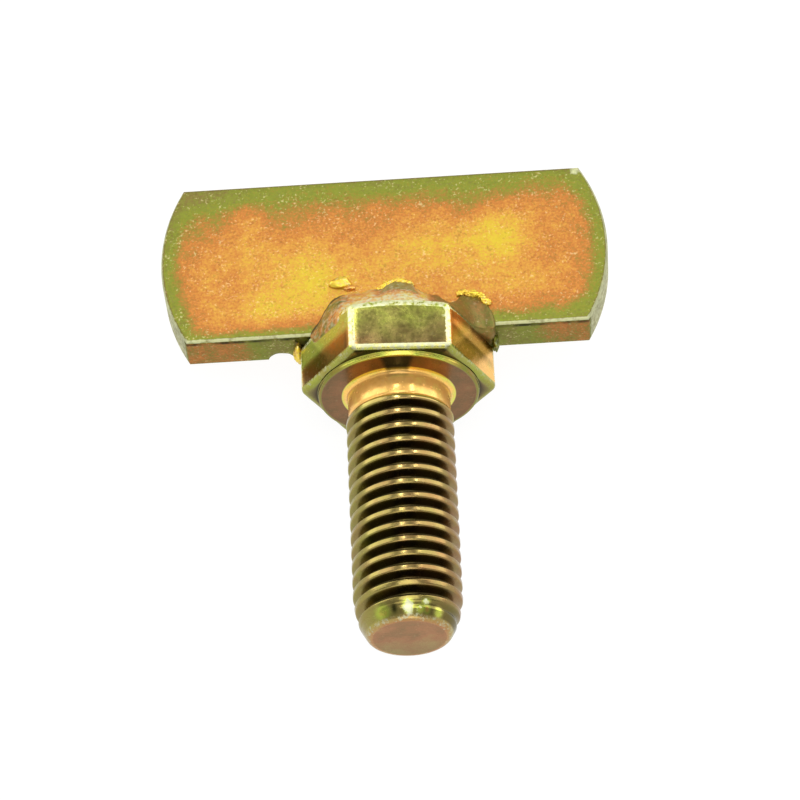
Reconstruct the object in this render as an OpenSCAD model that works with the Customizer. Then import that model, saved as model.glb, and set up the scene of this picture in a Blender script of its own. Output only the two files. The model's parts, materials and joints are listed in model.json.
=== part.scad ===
// Thumb bolt: a short flat bar welded on edge across the head of a hexagon bolt.
// Millimetres, +Z up. The bolt lies on one flat of its head, as it comes to rest on a table.
// The origin is on the bolt's axis, in the plane of the bearing face under the head.
// +Y runs along the axis to the plate, -Y to the tip, and +X along the plate.

/* [Bolt shank] */
// Diameter of the thread over its crests
thread_d = 12; // [10:0.5:14]
// Length of the shank below the bearing face
shank_len = 30; // [16:1:60]
// Radius of the fillet between the shank and the bearing face
neck_fillet_r = 0.6; // [0.3:0.1:1]
// Length of the whole taper at the tip
tip_taper_len = 4.2; // [2:0.1:6]
// Length of the steep part of the taper, next to the end
tip_cone_len = 1.75; // [0.5:0.05:3]
// Diameter at the top of the steep part
tip_cone_d = 10.9; // [9:0.1:13]
// Diameter of the flat end
tip_d = 8.9; // [6:0.1:11]

/* [Bolt head] */
// Width of the hexagon across its flats
head_af = 18.8; // [17:0.1:24]
// Height of the head, with its washer face
head_h = 6.9; // [5:0.1:10]
// Height of the round washer face under the hexagon
washer_face_h = 0.5; // [0.2:0.1:0.8]
// How far the washer face stands in from the flats
washer_face_inset = 0.5; // [0.2:0.1:1]
// How far the flat top inside the crown chamfer stands in from the flats
crown_inset = 0.6; // [0.3:0.1:1.5]
// Slope of the crown chamfer
crown_slope = 15; // [10:1:40]

/* [Thumb plate] */
// Length of the plate over its round ends
plate_len = 50; // [36:1:80]
// Height of the plate above the head
plate_h = 20; // [12:1:30]
// Thickness of the plate
plate_t = 5; // [3:0.5:8]
// Radius of the round ends
plate_end_r = 20; // [16:1:40]
// Width of the broken edges round both faces
plate_edge = 0.4; // [0.2:0.1:0.8]
// How far the middle of the plate lies along +X from the axis
plate_shift = -0.9; // [-3:0.1:3]
// How far the plate is turned about the axis, away from being level with the head's flats
plate_turn = 4.3; // [-10:0.1:10]

/* [Front weld] */
// Height of the bead up the plate, in the middle of the head
collar_h = 5.2; // [3:0.1:7]
// How far the foot of the bead stands in from the head's flats
collar_inset = 0.4; // [0.2:0.1:1.5]
// How far the bead swells out between its foot and the plate
collar_swell = 0.6; // [0.2:0.1:1.5]
// Radius of the pool of weld over the left flank
left_pool_r = 4.2; // [2.5:0.1:5]
// Distance of the left pool from the left corner of the hexagon
left_pool_in = 5.7; // [4:0.1:8]
// Radius of the pool of weld over the right flank
right_pool_r = 3.8; // [2.5:0.1:5]
// Distance of the right pool from the right corner of the hexagon
right_pool_in = 2.9; // [2:0.1:5]
// Radius of the mound in the middle of the bead
mound_r = 1.7; // [1:0.1:2.5]
// How far the mound stands up past the bead
mound_rise = 0.6; // [0.2:0.1:1]
// Distance of the mound from the axis
mound_x = 0.9; // [-3:0.1:3]

/* [Rear weld] */
// Leg of the fillet bead, up the plate and along the head
weld_leg = 4.5; // [2.5:0.1:5]
// How far the middle of each ripple is sunk into the corner, which sets how flat the bead is
weld_sink = 1.4; // [0.8:0.1:2.5]
// Spacing of the ripples along the bead
weld_ripple = 2.4; // [1.5:0.1:4]

/* [Both welds] */
// How far a bead may run out past the corners of the hexagon
weld_over = 0.4; // [0.2:0.1:2]
// How far a bead hangs down beside the hexagon
weld_drip = 1.4; // [0.5:0.1:3]
// How far a bead stands out over the flanks
weld_overflow = 0.3; // [0.2:0.1:1]
// Thickness of a bead on the plate where it runs past the hexagon
weld_edge = 0.7; // [0.4:0.1:1.5]
// Radius of the bite burnt out of the plate's rear lower edge
bite_r = 1.5; // [0.5:0.1:2.2]
// Distance of the bite from the left corner of the hexagon
bite_out = 2.05; // [1:0.05:6]

/* [Hidden] */
$fn = 96;

// Yellow passivated zinc on the bolt, the plate and the welds
bolt_colour = [0.55, 0.47, 0.22];
plate_colour = [0.86, 0.56, 0.22];
weld_colour = [0.71, 0.63, 0.25];

// Overlap of a cutter with what it cuts
cut = 1;
hex_sides = 6;
thread_r = thread_d / 2;
head_ac = head_af / cos(180 / hex_sides);
corner_x = head_ac / 2;
washer_face_r = head_af / 2 - washer_face_inset;
crown_r = head_af / 2 - crown_inset;
// A radius that clears the whole hexagon
clear_r = head_ac;
crown_drop = (clear_r - crown_r) * tan(crown_slope);
plate_end_x = plate_len / 2 - plate_end_r;
// Half the greatest length of a bead
weld_half = corner_x + weld_over;
// Radius of a ripple that reaches one leg up the plate and one leg along the head
ripple_r = norm([weld_leg + weld_sink, weld_sink]);
// The front bead's profile is an arc from its foot on the crown to its toe on the plate
collar_foot = [head_af / 2 - collar_inset, 0];
collar_toe = [plate_t / 2, collar_h];
collar_chord = collar_toe - collar_foot;
collar_r = pow(norm(collar_chord), 2) / (8 * collar_swell) + collar_swell / 2;
collar_out = [collar_chord.y, -collar_chord.x] / norm(collar_chord);
collar_middle = (collar_foot + collar_toe) / 2 - (collar_r - collar_swell) * collar_out;
// How far the collar is let into the head, to be cut to fit its crown
collar_seat = 0.15;
// How far the right pool's middle lies behind the face of the plate
right_pool_sink = 1;

// Lays a piece down: it is modelled upright on its axis, with +Z towards the plate and the front at -Y
module lay_down() {
    rotate([-90, 0, 0]) children();
}

// Stands a piece on the top of the head, turned with the plate
module on_head() {
    rotate([0, 0, -plate_turn]) translate([0, 0, head_h]) children();
}

// Half profile of the shank, with its fillet and its tapered tip
module shank_profile() {
    difference() {
        union() {
            polygon([
                [0, cut],
                [thread_r, cut],
                [thread_r, tip_taper_len - shank_len],
                [tip_cone_d / 2, tip_cone_len - shank_len],
                [tip_d / 2, -shank_len],
                [0, -shank_len]
            ]);
            translate([0, -neck_fillet_r]) square([thread_r + neck_fillet_r, neck_fillet_r + cut]);
        }
        translate([thread_r + neck_fillet_r, -neck_fillet_r]) circle(r = neck_fillet_r);
    }
}

// Half profile of what the crown chamfer leaves of the head
module crown_profile() {
    polygon([
        [0, washer_face_h],
        [clear_r, washer_face_h],
        [clear_r, head_h - crown_drop],
        [crown_r, head_h],
        [0, head_h]
    ]);
}

module head_form() {
    intersection() {
        translate([0, 0, washer_face_h]) cylinder(h = head_h, r = head_ac / 2, $fn = hex_sides);
        rotate_extrude() crown_profile();
    }
    cylinder(h = washer_face_h + cut, r = washer_face_r);
}

// Outline of the plate, standing on its lower edge
module plate_outline() {
    difference() {
        translate([-plate_len / 2, 0]) square([plate_len, plate_h]);
        for (end = [0, 1]) mirror([end, 0]) difference() {
            translate([plate_end_x, -cut]) square([plate_end_r + cut, plate_h + 2 * cut]);
            translate([plate_end_x, plate_h / 2]) circle(r = plate_end_r);
        }
    }
}

// Cuts the corner off one long edge of the plate's front face
module long_edge_cut() {
    rotate([45, 0, 0]) cube([plate_len + 2 * cut, plate_edge * sqrt(2), plate_edge * sqrt(2)], center = true);
}

// Cuts the corner off the round end of the plate's front face on the +X side
module end_edge_cut() {
    translate([plate_end_x, 0, plate_h / 2]) intersection() {
        rotate([90, 0, 0]) rotate_extrude()
            polygon([
                [plate_end_r - plate_edge - cut, plate_t / 2 + cut],
                [plate_end_r + cut, plate_t / 2 - plate_edge - cut],
                [plate_end_r + cut, plate_t / 2 + cut]
            ]);
        translate([0, -plate_t, -plate_h]) cube([plate_end_r + 2 * cut, plate_t, 2 * plate_h]);
    }
}

// The plate in its own frame, on edge, with its lower middle at the origin
module plate_form() {
    difference() {
        translate([0, plate_t / 2, 0]) rotate([90, 0, 0]) linear_extrude(plate_t) plate_outline();
        for (face = [0, 1], edge_z = [0, plate_h]) mirror([0, face, 0])
            translate([0, -plate_t / 2, edge_z]) long_edge_cut();
        for (face = [0, 1], end = [0, 1]) mirror([0, face, 0]) mirror([end, 0, 0]) end_edge_cut();
        translate([-corner_x - bite_out - plate_shift, plate_t / 2, 0]) sphere(r = bite_r);
    }
}

// Where a bead in front of the plate may lie: over the head and a little past its flanks, and along the plate
module weld_room() {
    intersection() {
        union() {
            rotate([0, 0, plate_turn]) translate([0, 0, -2 * weld_drip])
                cylinder(h = plate_h, r = corner_x + weld_overflow / cos(180 / hex_sides), $fn = hex_sides);
            translate([-clear_r, -plate_t / 2 - weld_edge, -2 * weld_drip]) cube([2 * clear_r, plate_t, plate_h]);
        }
        translate([-weld_half, -clear_r, -weld_drip]) cube([2 * weld_half, clear_r - plate_t / 2, clear_r]);
    }
}

// Half profile of the front bead, which runs round the crown like a collar
module collar_profile() {
    intersection() {
        translate(collar_middle) circle(r = collar_r);
        translate([0, -collar_seat]) square(clear_r);
    }
}

// The front bead: a collar round the crown, a pool over each flank and a mound in the middle
module front_bead() {
    intersection() {
        union() {
            rotate_extrude() collar_profile();
            translate([left_pool_in - corner_x, -plate_t / 2, 0]) sphere(r = left_pool_r);
            translate([corner_x - right_pool_in, right_pool_sink - plate_t / 2, 0]) sphere(r = right_pool_r);
            translate([mound_x, -plate_t / 2, collar_h + mound_rise - mound_r]) sphere(r = mound_r);
        }
        weld_room();
    }
}

// The rear bead, drawn in front of the plate: a row of ripples from one end to the other
module rear_bead() {
    span = 2 * (weld_half - sqrt(pow(ripple_r, 2) - 2 * pow(weld_sink, 2)));
    steps = max(1, round(span / weld_ripple));
    intersection() {
        for (i = [0 : steps])
            translate([span * (i / steps - 0.5), weld_sink - plate_t / 2, -weld_sink]) sphere(r = ripple_r);
        weld_room();
    }
}

// A bead with the head taken out of it, so that it seats on the head as well as on the plate
module seated_weld() {
    difference() {
        on_head() children();
        head_form();
    }
}

module hex_bolt() {
    color(bolt_colour) lay_down() {
        head_form();
        rotate_extrude() shank_profile();
    }
}

module thumb_plate() {
    color(plate_colour) lay_down() on_head() translate([plate_shift, 0, 0]) plate_form();
}

module front_weld() {
    color(weld_colour) lay_down() seated_weld() front_bead();
}

module rear_weld() {
    color(weld_colour) lay_down() seated_weld() rotate([0, 0, 180]) rear_bead();
}

hex_bolt();
thumb_plate();
front_weld();
rear_weld();
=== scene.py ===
"""Thumb bolt: a hexagon bolt with a flat bar welded on edge across its head, in yellow zinc."""

import json
import math

import bmesh
import bpy
import numpy as np
from bpy.props import FloatProperty, FloatVectorProperty, PointerProperty
from mathutils import Matrix, Vector, noise


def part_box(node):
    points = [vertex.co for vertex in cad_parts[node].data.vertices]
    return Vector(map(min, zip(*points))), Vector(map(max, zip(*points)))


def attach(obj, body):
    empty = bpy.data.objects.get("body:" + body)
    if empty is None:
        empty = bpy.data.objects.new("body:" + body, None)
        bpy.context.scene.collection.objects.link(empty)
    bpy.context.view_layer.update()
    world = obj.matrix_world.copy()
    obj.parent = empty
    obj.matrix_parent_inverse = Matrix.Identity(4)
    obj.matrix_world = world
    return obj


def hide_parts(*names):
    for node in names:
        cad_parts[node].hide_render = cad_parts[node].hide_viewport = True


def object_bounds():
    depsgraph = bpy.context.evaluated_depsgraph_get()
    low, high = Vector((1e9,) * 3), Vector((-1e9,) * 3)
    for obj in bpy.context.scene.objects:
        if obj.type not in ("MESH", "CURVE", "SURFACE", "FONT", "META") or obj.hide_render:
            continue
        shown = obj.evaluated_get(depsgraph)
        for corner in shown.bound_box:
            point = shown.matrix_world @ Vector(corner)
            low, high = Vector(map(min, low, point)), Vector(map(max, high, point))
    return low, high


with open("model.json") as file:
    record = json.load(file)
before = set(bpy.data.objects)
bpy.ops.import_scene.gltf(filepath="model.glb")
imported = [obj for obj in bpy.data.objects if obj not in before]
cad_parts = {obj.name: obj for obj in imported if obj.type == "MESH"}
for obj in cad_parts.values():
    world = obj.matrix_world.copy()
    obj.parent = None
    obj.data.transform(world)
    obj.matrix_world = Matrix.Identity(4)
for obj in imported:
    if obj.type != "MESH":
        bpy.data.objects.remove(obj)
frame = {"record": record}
CAD_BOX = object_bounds()

bl_info = {
    "name": "Thumb bolt",
    "version": (1, 0, 0),
    "blender": (4, 5, 0),
    "location": "View3D > Sidebar > Thumb bolt",
    "description": "Builds a zinc plated hexagon bolt with a flat bar welded across its head",
    "category": "Object",
}

MM = 0.001
BODY = "root"
BOLT_LOW, BOLT_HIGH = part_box("hex_bolt")
PLATE_LOW, PLATE_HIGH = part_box("thumb_plate")
THREAD_MOUNT = next(mount for mount in frame["record"]["mounts"] if mount["name"] == "thread")
THREAD_RADIUS = THREAD_MOUNT["dims"]["r_mm"] * MM

# Columns of points round the bolt: six flats, each with two half corners
CORNER_STEPS = 4
FLAT_STEPS = 20
FLATS = 6
COLUMNS = FLATS * (2 * CORNER_STEPS + FLAT_STEPS)
# Places of the rows of points in one pitch of the thread, from the middle of one crest to the next
PITCH_ROWS = (
    0.0, 0.07, 0.12, 0.145, 0.17, 0.2, 0.25, 0.31, 0.38, 0.43,
    0.5, 0.57, 0.62, 0.69, 0.75, 0.8, 0.83, 0.855, 0.88, 0.93,
)
# Film thickness on the plain neck, from 0 to 1
NECK_FILM = 0.73
# How far the film hides the metal on the neck, from 0 to 1
NECK_DULL = 0.45
# Seed of the way in which the lumps of the weld's crust wander, so that each run gives the same lumps
CRUST_SEED = 7
# Headings of the three flats seen in front, and half of what a flat takes up, in degrees round the axis
LEFT_FLANK, FRONT_FLAT, RIGHT_FLANK = 210, 270, 330
HALF_FLAT = 180 / FLATS
# Scales of the noise in the film, in the wear and in the sheen
FILM_GRAIN_SCALE = 3600.0
WEAR_SCALE = 2400.0
SHEEN_SCALE = 2200.0
# Lamps, all aimed at the origin: name, place and width in metres, and radiance
LAMPS = (
    ("flash", (-0.01, -0.27, 0.47), 0.05, 14.0),
    ("key", (0.0, -0.04, 0.66), 0.5, 2.2),
    ("front_box", (0.0, -0.62, 0.30), 0.5, 1.5),
    ("left_box", (-0.5, 0.33, 0.29), 0.65, 1.6),
    ("right_box", (0.5, 0.33, 0.29), 0.65, 1.6),
    ("left_lamp", (-0.06, 0.275, 0.471), 0.05, 34.0),
    ("right_lamp", (0.215, 0.275, 0.43), 0.05, 20.0),
)


def length(name, description, default):
    """A length in metres."""
    return FloatProperty(name=name, description=description, default=default, unit="LENGTH", precision=5)


def angle(name, description, degrees):
    """An angle, given in degrees."""
    return FloatProperty(name=name, description=description, default=math.radians(degrees), subtype="ANGLE")


def share(name, description, default):
    """A share from 0 to 1."""
    return FloatProperty(name=name, description=description, default=default, min=0, max=1, subtype="FACTOR")


def amount(name, description, default):
    """A plain number."""
    return FloatProperty(name=name, description=description, default=default)


def colour(name, description, default):
    """A linear colour."""
    return FloatVectorProperty(
        name=name, description=description, default=default, subtype="COLOR", size=3, min=0, max=1
    )


class BoltSizes(bpy.types.PropertyGroup):
    """Sizes of the hexagon bolt"""

    shank_length: length("Shank length", "From the bearing face to the tip", -BOLT_LOW.y)
    head_height: length("Head height", "From the bearing face to the top of the head", BOLT_HIGH.y)
    across_flats: length("Across flats", "Width of the hexagon", BOLT_HIGH.z - BOLT_LOW.z)
    corner_round: length("Corner round", "Radius of the six upright edges", 0.85 * MM)
    edge_round: length("Edge round", "Setback of the hexagon's lower edge", 0.65 * MM)
    crown_inset: length("Crown inset", "From the flats in to the crown's flat top", 0.6 * MM)
    crown_slope: angle("Crown slope", "Slope of the crown chamfer", 15)
    crown_round: length("Crown round", "Setback of the edge between flats and crown", 0.75 * MM)
    washer_inset: length("Washer inset", "From the flats in to the washer face", 0.5 * MM)
    washer_height: length("Washer height", "Height of the washer face", 0.5 * MM)
    forging: length("Forging unevenness", "Depth of the hollows in the forged flats", 0.07 * MM)
    neck_radius: length("Neck radius", "Radius of the plain neck", 5.65 * MM)
    neck_length: length("Neck length", "From the bearing face to the thread", 2.6 * MM)
    neck_fillet: length("Neck fillet", "Setback of the fillet under the head", 0.6 * MM)
    crest_radius: length("Crest radius", "Radius over the crests", THREAD_RADIUS - 0.07 * MM)
    pitch: length("Pitch", "Pitch of the right-hand thread", 1.75 * MM)
    depth: length("Thread depth", "From crest to root", 1.0 * MM)
    crest_place: length("Crest place", "A crest on the upper line, below the bearing face", 5.19 * MM)
    run_out: length("Run out", "Length in which the thread fades into the neck", 1.3 * MM)
    tip_radius: length("Tip radius", "Radius of the flat end", 4.45 * MM)
    tip_cone: length("Tip cone", "Length of the steep part of the taper", 1.75 * MM)
    tip_cone_radius: length("Tip cone radius", "Radius at the top of the steep part", 5.42 * MM)
    tip_taper: length("Tip taper", "Length of the whole taper", 4.2 * MM)
    tip_plain: length("Tip plain", "Length of the end without a groove", 1.0 * MM)


class PlateSizes(bpy.types.PropertyGroup):
    """Sizes of the flat bar"""

    length: length("Length", "Over the round ends", 49.98 * MM)
    height: length("Height", "Above the head", PLATE_HIGH.y - BOLT_HIGH.y)
    thickness: length("Thickness", "Through the bar", 5 * MM)
    end_radius: length("End radius", "Radius of the round ends", 20 * MM)
    edge_round: length("Edge round", "Radius of the edges", 0.38 * MM)
    shift: length("Shift", "Middle of the bar along X from the bolt's axis", -0.9 * MM)
    turn: angle("Turn", "Turn about the axis, away from the head's flats", 4.3)
    bite_radius: length("Bite radius", "Radius of the bite burnt out of the lower rear edge", 1.5 * MM)
    bite_place: length("Bite place", "Middle of the bite along X from the bolt's axis", -12.9 * MM)
    rim_top: length("Upper rim", "Width of the green rim along the upper edge", 2.8 * MM)
    rim_low: length("Lower rim", "Width of the green rim along the lower edge", 1.25 * MM)
    rim_end: length("End rim", "Width of the green rim along the round ends", 1.5 * MM)


class WeldSizes(bpy.types.PropertyGroup):
    """Sizes of the two fillet welds"""

    front_leg: length("Front leg", "Reach of the front bead along the head", 6.6 * MM)
    rear_leg: length("Rear leg", "Reach of the rear bead along the head", 4.6 * MM)
    ripple: length("Ripple", "Spacing of the ripples along a bead", 2.4 * MM)
    ripple_depth: length("Ripple depth", "Depth of the ripples", 0.09 * MM)
    overflow: length("Overflow", "How far the front bead stands out over the flanks", 0.15 * MM)
    drip: length("Drip", "How far the front bead runs down the left flank", 1.5 * MM)
    shoulder: length("Shoulder", "How far the front bead runs down the right flank", 0.8 * MM)
    sink: length("Sink", "How far the bead goes into what it joins", 0.3 * MM)
    crust: length("Crust", "Height of the rough crust", 0.35 * MM)


class ZincColours(bpy.types.PropertyGroup):
    """Colours of the passivated zinc, from the thinnest film to the thickest"""

    brown: colour("Brown", "Thinnest film", (0.17, 0.105, 0.035))
    pink: colour("Pink", "Film on the bearing face", (0.31, 0.14, 0.055))
    tan: colour("Tan", "Film on the lower flats", (0.33, 0.23, 0.08))
    olive: colour("Olive", "Film on the flats and crests", (0.32, 0.29, 0.07))
    green: colour("Green", "Film along the rims", (0.33, 0.38, 0.055))
    amber: colour("Amber", "Film inside the rims", (0.45, 0.31, 0.065))
    orange: colour("Red orange", "Film next to the rims", (0.74, 0.29, 0.075))
    gold: colour("Gold", "Film over the middle of the bar", (0.86, 0.47, 0.09))
    yellow: colour("Yellow", "Thickest film", (0.87, 0.66, 0.07))
    # Bare zinc also paints highlights: the hot spot on the tip, the front lower edges, and in part the
    # hexagon's corners and crown edge
    bare: colour("Bare zinc", "Zinc where the film has worn off", (0.82, 0.83, 0.56))
    # Painted shade: this near black darkens grooves, crevices, undersides and toe lines and paints dark
    # reflections, in place of shade; it is not a film
    shade_paint: colour("Shade paint", "Dark film in the grooves", (0.012, 0.011, 0.004))
    # Painted glints: pale specks of the grain, painted into the colour as glints of light
    cream: colour("Cream", "Specks where the film is thin", (0.92, 0.80, 0.42))


class StageSettings(bpy.types.PropertyGroup):
    """Floor, light and camera"""

    floor_radius: length("Floor radius", "Flat part of the floor", 0.9)
    wall_height: length("Wall height", "Height of the rounded wall round the floor", 0.5)
    floor_colour: colour("Floor colour", "Colour of the floor and the wall", (0.85, 0.85, 0.85))
    shadow: share("Shadow", "Share of the shadow that shows on the floor", 0.12)
    sky: amount("Sky", "Light from all round", 0.5)
    camera_target: FloatVectorProperty(
        name="Camera target", description="Point at the middle of the picture",
        default=(0.095 * MM, -0.581 * MM, 0), subtype="XYZ", unit="LENGTH",
    )
    camera_distance: length("Camera distance", "From the camera to its target", 495.06 * MM)
    camera_azimuth: angle("Camera azimuth", "Heading of the view, from +Y towards +X", 4.403)
    camera_elevation: angle("Camera elevation", "Height of the camera over the floor", 59.97)
    camera_roll: angle("Camera roll", "Roll of the camera", 2.516)
    camera_lens: amount("Camera lens", "Focal length in millimetres on a sensor of 36 mm", 202.1)


class ThumbBoltSettings(bpy.types.PropertyGroup):
    """All settings of the thumb bolt"""

    bolt: PointerProperty(type=BoltSizes)
    plate: PointerProperty(type=PlateSizes)
    weld: PointerProperty(type=WeldSizes)
    zinc: PointerProperty(type=ZincColours)
    stage: PointerProperty(type=StageSettings)


def ease(value, low, high):
    """Smooth step from 0 at low to 1 at high."""
    t = np.clip((np.asarray(value, float) - low) / (high - low), 0, 1)
    return t * t * (3 - 2 * t)


def soft_min(a, b, blend):
    """The lesser of two values, rounded over the blend where they meet."""
    h = np.clip(0.5 + 0.5 * (b - a) / blend, 0, 1)
    return b + (a - b) * h - blend * h * (1 - h)


def lumps(x, y, z, size, detail=2):
    """Smooth noise from about -1 to 1 at each point, with lumps of the given size."""
    points = np.stack(np.broadcast_arrays(x, y, z), axis=-1).reshape(-1, 3) / size
    values = [noise.fractal(Vector(point), 1.0, 2.0, detail) for point in points]
    return np.array(values).reshape(np.broadcast(x, y, z).shape)


class Skin:
    """Rows of points with their finish, joined into one closed surface."""

    def __init__(self, columns):
        self.columns = columns
        self.points = []
        # Film thickness, bare zinc of wear and of painted highlights, painted shade, and how far the film
        # hides the metal
        self.finish = {"film": [], "worn": [], "deep": [], "dull": []}
        self.seams = []

    def add(self, x, y, z, film=0.4, worn=0.0, deep=0.0, dull=0.0, seam=None):
        """Adds a row. seam is the row that it joins where it has gone round once, if not itself."""
        row = np.stack([np.broadcast_to(part, self.columns) for part in (x, y, z)], axis=-1)
        self.points.append(row)
        for name, value in (("film", film), ("worn", worn), ("deep", deep), ("dull", dull)):
            self.finish[name].append(np.broadcast_to(value, self.columns))
        self.seams.append(len(self.seams) if seam is None else seam)

    def add_ring(self, radius, turn, height, **finish):
        """Adds a row round the axis, for the turn of each column."""
        self.add(radius * np.cos(turn), radius * np.sin(turn), height, **finish)

    def faces(self):
        """Four-sided faces between each row and the next, and a cap at both ends."""
        count = self.columns
        last = len(self.points) - 1
        quads = []
        for row in range(last):
            for column in range(count):
                beside = (column + 1) % count
                low_row = row if beside else self.seams[row]
                high_row = row + 1 if beside else self.seams[row + 1]
                quads.append((
                    row * count + column,
                    low_row * count + beside,
                    high_row * count + beside,
                    (row + 1) * count + column,
                ))
        quads.append(tuple(reversed(range(count))))
        quads.append(tuple(last * count + column for column in range(count)))
        return quads


def skin_mesh(name, skins, place):
    """Skins as one mesh, put in its place, with points that fall together merged."""
    points = np.concatenate([row for skin in skins for row in skin.points])
    faces = []
    first = 0
    for skin in skins:
        faces += [tuple(first + corner for corner in face) for face in skin.faces()]
        first += len(skin.points) * skin.columns
    mesh = bpy.data.meshes.new(name)
    mesh.from_pydata(points.tolist(), [], faces)
    for key in skins[0].finish:
        values = np.concatenate([row for skin in skins for row in skin.finish[key]])
        layer = mesh.attributes.new(key, "FLOAT", "POINT")
        layer.data.foreach_set("value", values.astype(np.float32))
    shape = bmesh.new()
    shape.from_mesh(mesh)
    bmesh.ops.remove_doubles(shape, verts=shape.verts, dist=0.0005 * MM)
    bmesh.ops.recalc_face_normals(shape, faces=shape.faces)
    shape.to_mesh(mesh)
    shape.free()
    mesh.transform(place)
    mesh.shade_smooth()
    return mesh


def add_piece(name, mesh, material, node):
    """Puts a piece of the bolt in the scene, in place of its solid."""
    piece = bpy.data.objects.new(name, mesh)
    bpy.context.scene.collection.objects.link(piece)
    mesh.materials.append(material)
    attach(piece, BODY)
    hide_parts(node)
    return piece


def laid_down():
    """Lays a piece down: upright it has +Z towards the bar and its front at -Y."""
    return Matrix.Rotation(math.radians(-90), 4, "X")


def on_head(settings):
    """Stands a piece on the head, turned with the bar."""
    lift = Matrix.Translation((0, 0, settings.bolt.head_height))
    return laid_down() @ Matrix.Rotation(-settings.plate.turn, 4, "Z") @ lift


def hexagon(apothem, corner_round):
    """Points round a hexagon with rounded corners, and how far each is on a corner."""
    half = (apothem - corner_round) * math.tan(math.pi / FLATS)
    points = []
    corner = []
    for flat in range(FLATS):
        heading = (flat + 0.5) * 2 * math.pi / FLATS
        outward = np.array([math.cos(heading), math.sin(heading)])
        along = np.array([-outward[1], outward[0]])
        for step in range(-CORNER_STEPS - FLAT_STEPS // 2, CORNER_STEPS + FLAT_STEPS // 2):
            past = max(abs(step) - FLAT_STEPS // 2, 0)
            side = math.copysign(1, step)
            lean = past / CORNER_STEPS * math.pi / FLATS
            across = side * (half + corner_round * math.sin(lean)) if past else step * 2 * half / FLAT_STEPS
            out = apothem - corner_round * (1 - math.cos(lean))
            points.append(out * outward + across * along)
            corner.append(ease(abs(step), FLAT_STEPS // 2 - 1, FLAT_STEPS // 2 + 1))
    return np.array(points), np.array(corner)


def between(finish, t):
    """A finish at a share t of a rounded corner: a pair of values runs from the first to the second."""
    return {
        name: value[0] + (value[1] - value[0]) * t if isinstance(value, tuple) else value
        for name, value in finish.items()
    }


def profile_point(radius, height):
    """Radius and height of a profile's corner, for each column of points."""
    return np.stack(np.broadcast_arrays(radius, height, np.zeros(COLUMNS))[:2])


def rounded(corners):
    """Rows of a profile through its corners, with the corners rounded.

    Each corner is (radius, height, setback, steps, finish), and one without steps stays sharp.
    """
    # Greatest share of the way to the next corner that a round takes up
    most = 0.9
    rows = []
    for index, (radius, height, setback, steps, finish) in enumerate(corners):
        here = profile_point(radius, height)
        if not steps:
            rows.append((here, finish))
            continue
        ends = []
        for neighbour in (corners[index - 1], corners[index + 1]):
            way = profile_point(*neighbour[:2]) - here
            ends.append(here + way * np.minimum(setback / np.linalg.norm(way, axis=0), most))
        for step in range(steps + 1):
            t = step / steps
            place = (1 - t) ** 2 * ends[0] + 2 * t * (1 - t) * here + t * t * ends[1]
            rows.append((place, between(finish, t)))
    return rows


def groove(phase):
    """Share of the thread's depth at a phase of its pitch: 0 on the crest, 1 in the root."""
    crest_half = 0.15
    root_half = 0.07
    blur = 0.02
    nearby = np.linspace(-blur, blur, 9) + phase
    from_crest = np.abs(nearby - np.round(nearby))
    return float(np.mean(np.clip((from_crest - crest_half) / (0.5 - crest_half - root_half), 0, 1)))


def tip_limit(sizes, from_end):
    """Greatest radius of the shank at a distance from its end: two tapers with a rounded bend."""
    steep = sizes.tip_radius + (sizes.tip_cone_radius - sizes.tip_radius) * from_end / sizes.tip_cone
    rest = (from_end - sizes.tip_cone) / (sizes.tip_taper - sizes.tip_cone)
    shallow = sizes.tip_cone_radius + (sizes.crest_radius - sizes.tip_cone_radius) * rest
    bend = 0.12 * MM
    return soft_min(soft_min(steep, shallow, bend), sizes.crest_radius, bend)


def tip_gleam(turn, from_end):
    """Finish of the taper at the tip: dark with painted shade, and a few bright patches on its upper side
    that are painted highlights.
    """
    finish = {"film": 0.33 + 0 * turn, "worn": 0 * turn, "deep": 0.66 + 0.14 * np.cos(turn)}
    # Patches of painted highlight and painted shade: places across the bolt from -1 to 1 and from the end in
    # millimetres, half sizes, film, wear and darkness; the bare zinc of the wear paints the highlights
    patches = (
        (-0.58, 1.1, 0.16, 0.9, 0.48, 0.0, 0.35),
        (-0.34, 1.2, 0.06, 0.5, 0.4, 0.0, 0.95),
        (-0.05, 1.2, 0.13, 0.85, 0.6, 0.95, 0.0),
        (0.2, 1.0, 0.1, 0.6, 0.52, 0.4, 0.15),
        (0.32, 1.75, 0.09, 0.45, 0.5, 0.6, 0.0),
        (0.36, 1.0, 0.07, 0.5, 0.6, 0.0, 0.55),
        (0.6, 0.95, 0.1, 0.65, 0.5, 0.1, 0.1),
    )
    for place, along, half, half_along, *patch_finish in patches:
        away = np.hypot((np.cos(turn) - place) / half, (from_end - along * MM) / (half_along * MM))
        patch = (1 - ease(away, 0.3, 1.4)) * ease(-np.sin(turn), 0.2, 0.5)
        for name, value in zip(finish, patch_finish):
            finish[name] = finish[name] + (value - finish[name]) * patch
    return finish


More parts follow.
